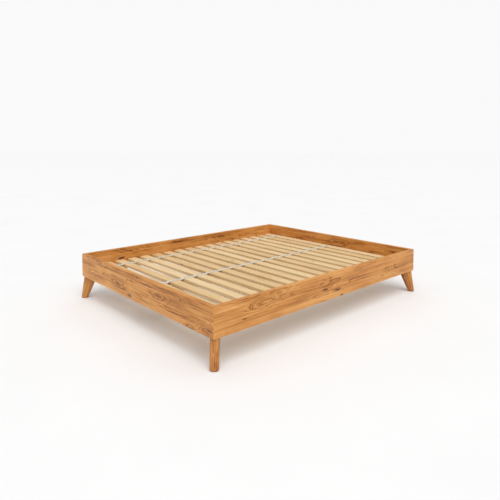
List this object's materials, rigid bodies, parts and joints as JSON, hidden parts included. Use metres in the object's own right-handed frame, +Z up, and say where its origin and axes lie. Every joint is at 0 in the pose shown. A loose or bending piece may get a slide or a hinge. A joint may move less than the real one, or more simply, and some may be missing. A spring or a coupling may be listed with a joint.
{
  "type": "wooden bed frame",
  "caption": "Low platform bed frame in oiled oak with mitred rails, splayed tapered corner legs, a centre beam on an adjustable foot and a lift-out slat deck.",
  "frame": {"origin": "on the floor, under the middle of the bed frame", "axes": "+X towards the right-hand side rail seen from the foot end, +Y towards the head end, +Z up"},
  "size_m": [1.6922, 2.0922, 0.345],
  "materials": {
    "oiled_oak": "oiled, satin",
    "leg_oak": "oiled, satin",
    "block_wood": "planed, matte",
    "support_wood": "planed, matte",
    "slat_wood": "planed, matte",
    "webbing": "woven cotton tape",
    "felt": "pressed felt",
    "black_steel": "powder coated, matte",
    "zinc_steel": "zinc plated, satin",
    "black_plastic": "moulded, fine texture"
  },
  "bodies": {
    "frame": {"rail_foot": "oiled_oak", "rail_head": "oiled_oak", "rail_left": "oiled_oak", "rail_right": "oiled_oak", "corner_block_foot_left": "block_wood", "corner_block_foot_right": "block_wood", "corner_block_head_left": "block_wood", "corner_block_head_right": "block_wood", "leg_foot_left": "leg_oak", "leg_foot_right": "leg_oak", "leg_head_left": "leg_oak", "leg_head_right": "leg_oak", "glide_foot_left": "felt", "glide_foot_right": "felt", "glide_head_left": "felt", "glide_head_right": "felt", "ledger_left": "support_wood", "ledger_right": "support_wood", "centre_beam": "support_wood", "beam_shoe_foot": "black_steel", "beam_shoe_head": "black_steel", "centre_leg": "leg_oak", "centre_leg_plate": "black_steel", "centre_leg_insert": "zinc_steel", "block_bolts": "zinc_steel", "block_washers": "zinc_steel", "rail_inserts": "zinc_steel", "leg_studs": "zinc_steel", "leg_washers": "zinc_steel", "leg_nuts": "zinc_steel", "ledger_screws": "zinc_steel", "shoe_screws": "zinc_steel", "plate_screws": "zinc_steel", "post_screws": "zinc_steel"},
    "slat_deck": {"slat_01": "slat_wood", "slat_02": "slat_wood", "slat_03": "slat_wood", "slat_04": "slat_wood", "slat_05": "slat_wood", "slat_06": "slat_wood", "slat_07": "slat_wood", "slat_08": "slat_wood", "slat_09": "slat_wood", "slat_10": "slat_wood", "slat_11": "slat_wood", "slat_12": "slat_wood", "slat_13": "slat_wood", "slat_14": "slat_wood", "slat_15": "slat_wood", "slat_16": "slat_wood", "slat_17": "slat_wood", "slat_18": "slat_wood", "strap_left": "webbing", "strap_centre": "webbing", "strap_right": "webbing", "strap_staples": "zinc_steel"},
    "foot_pad": {"foot_pad": "black_plastic"},
    "foot_spindle": {"foot_spindle": "zinc_steel"}
  },
  "joints": [
    {"name": "slat_deck_lift", "type": "slide", "parent": "frame", "child": "slat_deck", "axis": [0, 0, 1], "range_m": [0, 0.3]},
    {"name": "foot_height", "type": "slide", "parent": "frame", "child": "foot_pad", "axis": [0, 0, 1], "range_m": [-0.01, 0.01]},
    {"name": "spindle_turn", "type": "hinge", "parent": "foot_pad", "child": "foot_spindle", "pos_m": [0, 0, 0.0445], "axis": [0, 0, 1], "range_deg": [-2401, 2401]}
  ],
  "couplings": [
    {"joint": "spindle_turn", "follows": "foot_height", "rad_per_m": 4188.8}
  ]
}
